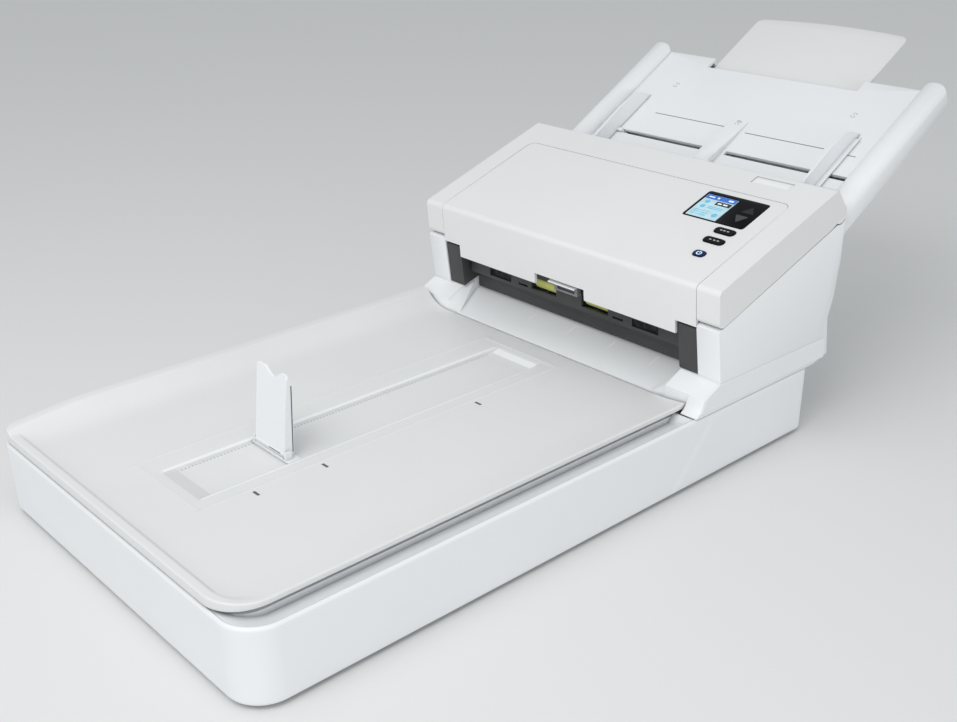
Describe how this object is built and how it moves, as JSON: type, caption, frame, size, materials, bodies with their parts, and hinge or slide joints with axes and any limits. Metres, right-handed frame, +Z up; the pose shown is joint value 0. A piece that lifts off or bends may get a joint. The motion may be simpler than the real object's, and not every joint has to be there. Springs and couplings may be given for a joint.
{
  "type": "sheet fed document scanner",
  "caption": "Desktop document scanner: sheet feeding head with rear hopper on a flatbed base whose lid is also the output tray.",
  "frame": {"origin": "middle of the footprint of the overall box, on the table", "axes": "+Z up, +Y to the rear, towards the hopper, +X to the operator's right"},
  "size_m": [0.349, 0.8192, 0.2969],
  "materials": {
    "shell_white": "satin moulded, fine texture",
    "glass": "polished",
    "steel": "turned",
    "black_rubber": "matt",
    "circuit_board": "solder mask",
    "grey_plastic": "moulded",
    "charcoal_plastic": "moulded",
    "natural_nylon": "moulded",
    "foam": "smooth film over foam",
    "gloss_black": "glossy",
    "display": "lit display",
    "navy": "glossy",
    "green_rubber": "matt"
  },
  "bodies": {
    "base": {"base_shell": "shell_white", "platen_frame": "shell_white", "platen_glass": "glass", "carriage_guide_rod": "steel", "carriage_belt": "black_rubber", "carriage_motor": "steel", "base_board": "circuit_board", "foot_front_left": "black_rubber", "foot_front_right": "black_rubber", "foot_rear_left": "black_rubber", "foot_rear_right": "black_rubber", "lid_hinge_front": "steel", "lid_hinge_rear": "steel", "head_housing": "shell_white", "exit_frame": "charcoal_plastic", "lower_guide": "grey_plastic", "lower_sensor": "charcoal_plastic", "feed_motor": "steel", "main_board": "circuit_board", "rear_socket_plate": "charcoal_plastic", "hopper_tray": "shell_white", "hopper_back": "shell_white"},
    "lid": {"document_lid": "shell_white", "lid_pad": "foam"},
    "stopper_shoe": {"stopper_slide": "shell_white", "stopper_pin": "steel"},
    "stopper": {"paper_stopper": "shell_white"},
    "carriage": {"scan_carriage": "grey_plastic", "flatbed_sensor": "charcoal_plastic"},
    "belt_drive": {"belt_drive_pulley": "natural_nylon"},
    "belt_idler": {"belt_idler_pulley": "natural_nylon"},
    "cover": {"top_cover": "shell_white", "control_panel": "shell_white", "display_bezel": "gloss_black", "display_screen": "display", "upper_guide": "charcoal_plastic", "upper_sensor": "charcoal_plastic"},
    "upper_key": {"upper_key": "gloss_black"},
    "lower_key": {"lower_key": "gloss_black"},
    "power_key": {"power_key": "navy"},
    "rear_key": {"rear_key": "shell_white"},
    "release_tab": {"release_tab": "shell_white"},
    "upper_exit": {"upper_exit_shaft": "steel", "exit_roller_left": "green_rubber", "exit_roller_right": "green_rubber"},
    "idler": {"idler_roller": "grey_plastic"},
    "feed": {"feed_shaft": "steel", "feed_roller": "green_rubber"},
    "pick": {"pick_shaft": "steel", "pick_roller": "green_rubber"},
    "drive": {"drive_roller": "black_rubber", "drive_gear": "natural_nylon"},
    "train_idler": {"idler_gear": "natural_nylon"},
    "motor_pinion": {"motor_pinion": "natural_nylon"},
    "lower_exit": {"lower_exit_roller": "grey_plastic"},
    "separation": {"separation_roller": "green_rubber"},
    "guide_right": {"paper_guide_right": "shell_white"},
    "guide_left": {"paper_guide_left": "shell_white"},
    "pinion": {"guide_pinion": "natural_nylon"},
    "extension": {"hopper_extension": "shell_white"}
  },
  "joints": [
    {"name": "lid_hinge", "type": "hinge", "parent": "base", "child": "lid", "pos_m": [-0.166, -0.19956, 0.0665], "axis": [0, -1, 0], "range_deg": [0, 80]},
    {"name": "stopper_slide", "type": "slide", "parent": "lid", "child": "stopper_shoe", "axis": [0, 1, 0], "range_m": [-0.063, 0.234]},
    {"name": "stopper_fold", "type": "hinge", "parent": "stopper_shoe", "child": "stopper", "pos_m": [-0.0095, -0.26856, 0.0676], "axis": [1, 0, 0], "range_deg": [0, 88]},
    {"name": "carriage_travel", "type": "slide", "parent": "base", "child": "carriage", "axis": [0, 1, 0], "range_m": [-0.36, 0]},
    {"name": "belt_drive_turn", "type": "hinge", "parent": "base", "child": "belt_drive", "pos_m": [0.1, 0.04244, 0.029], "axis": [0, 0, 1], "range_deg": [-2100, 0]},
    {"name": "belt_idler_turn", "type": "hinge", "parent": "base", "child": "belt_idler", "pos_m": [0.1, -0.37756, 0.029], "axis": [0, 0, 1], "range_deg": [-2100, 0]},
    {"name": "cover_hinge", "type": "hinge", "parent": "base", "child": "cover", "pos_m": [0, 0.17644, 0.19], "axis": [-1, 0, 0], "range_deg": [0, 50]},
    {"name": "upper_key_press", "type": "slide", "parent": "cover", "child": "upper_key", "axis": [0, 0.3156, -0.9489], "range_m": [0, 0.0008]},
    {"name": "lower_key_press", "type": "slide", "parent": "cover", "child": "lower_key", "axis": [0, 0.3156, -0.9489], "range_m": [0, 0.0008]},
    {"name": "power_key_press", "type": "slide", "parent": "cover", "child": "power_key", "axis": [0, 0.3156, -0.9489], "range_m": [0, 0.0008]},
    {"name": "rear_key_press", "type": "slide", "parent": "cover", "child": "rear_key", "axis": [0, 0.3156, -0.9489], "range_m": [0, 0.0015]},
    {"name": "release_tab_lift", "type": "slide", "parent": "cover", "child": "release_tab", "axis": [0, 0, 1], "range_m": [0, 0.0022]},
    {"name": "drive_turn", "type": "hinge", "parent": "base", "child": "drive", "pos_m": [0, 0.11548, 0.12814], "axis": [1, 0, 0], "continuous": true},
    {"name": "train_idler_turn", "type": "hinge", "parent": "base", "child": "train_idler", "pos_m": [-0.161, 0.08723, 0.11308], "axis": [1, 0, 0], "continuous": true},
    {"name": "motor_turn", "type": "hinge", "parent": "base", "child": "motor_pinion", "pos_m": [-0.161, 0.12222, 0.10404], "axis": [1, 0, 0], "continuous": true},
    {"name": "lower_exit_turn", "type": "hinge", "parent": "base", "child": "lower_exit", "pos_m": [0, 0.06165, 0.09941], "axis": [1, 0, 0], "continuous": true},
    {"name": "separation_turn", "type": "hinge", "parent": "base", "child": "separation", "pos_m": [0, 0.13985, 0.14193], "axis": [1, 0, 0], "continuous": true},
    {"name": "upper_exit_turn", "type": "hinge", "parent": "cover", "child": "upper_exit", "pos_m": [0, 0.05382, 0.11325], "axis": [1, 0, 0], "continuous": true},
    {"name": "idler_turn", "type": "hinge", "parent": "cover", "child": "idler", "pos_m": [0, 0.1074, 0.14241], "axis": [1, 0, 0], "continuous": true},
    {"name": "feed_turn", "type": "hinge", "parent": "cover", "child": "feed", "pos_m": [0, 0.13079, 0.15794], "axis": [1, 0, 0], "continuous": true},
    {"name": "pick_turn", "type": "hinge", "parent": "cover", "child": "pick", "pos_m": [0, 0.15342, 0.17075], "axis": [1, 0, 0], "continuous": true},
    {"name": "guide_right_slide", "type": "slide", "parent": "base", "child": "guide_right", "axis": [-1, 0, 0], "range_m": [0, 0.085]},
    {"name": "guide_left_slide", "type": "slide", "parent": "base", "child": "guide_left", "axis": [1, 0, 0], "range_m": [0, 0.085]},
    {"name": "guide_pinion_turn", "type": "hinge", "parent": "base", "child": "pinion", "pos_m": [0, 0.23264, 0.19581], "axis": [0, -0.4924, 0.8704], "range_deg": [0, 330]},
    {"name": "extension_slide", "type": "slide", "parent": "base", "child": "extension", "axis": [0, 0.8704, 0.4924], "range_m": [-0.07, 0]}
  ],
  "couplings": [
    {"joint": "belt_drive_turn", "follows": "carriage_travel", "rad_per_m": 98.039},
    {"joint": "belt_idler_turn", "follows": "carriage_travel", "rad_per_m": 98.039},
    {"joint": "train_idler_turn", "follows": "drive_turn", "ratio": -1.1538},
    {"joint": "motor_turn", "follows": "drive_turn", "ratio": -2.1429},
    {"joint": "lower_exit_turn", "follows": "drive_turn", "ratio": 1.25},
    {"joint": "separation_turn", "follows": "drive_turn", "ratio": 1},
    {"joint": "upper_exit_turn", "follows": "drive_turn", "ratio": -1.125},
    {"joint": "idler_turn", "follows": "drive_turn", "ratio": -1.2857},
    {"joint": "feed_turn", "follows": "drive_turn", "ratio": -1},
    {"joint": "pick_turn", "follows": "drive_turn", "ratio": -1},
    {"joint": "guide_left_slide", "follows": "guide_right_slide", "ratio": 1},
    {"joint": "guide_pinion_turn", "follows": "guide_right_slide", "rad_per_m": 66.667}
  ]
}
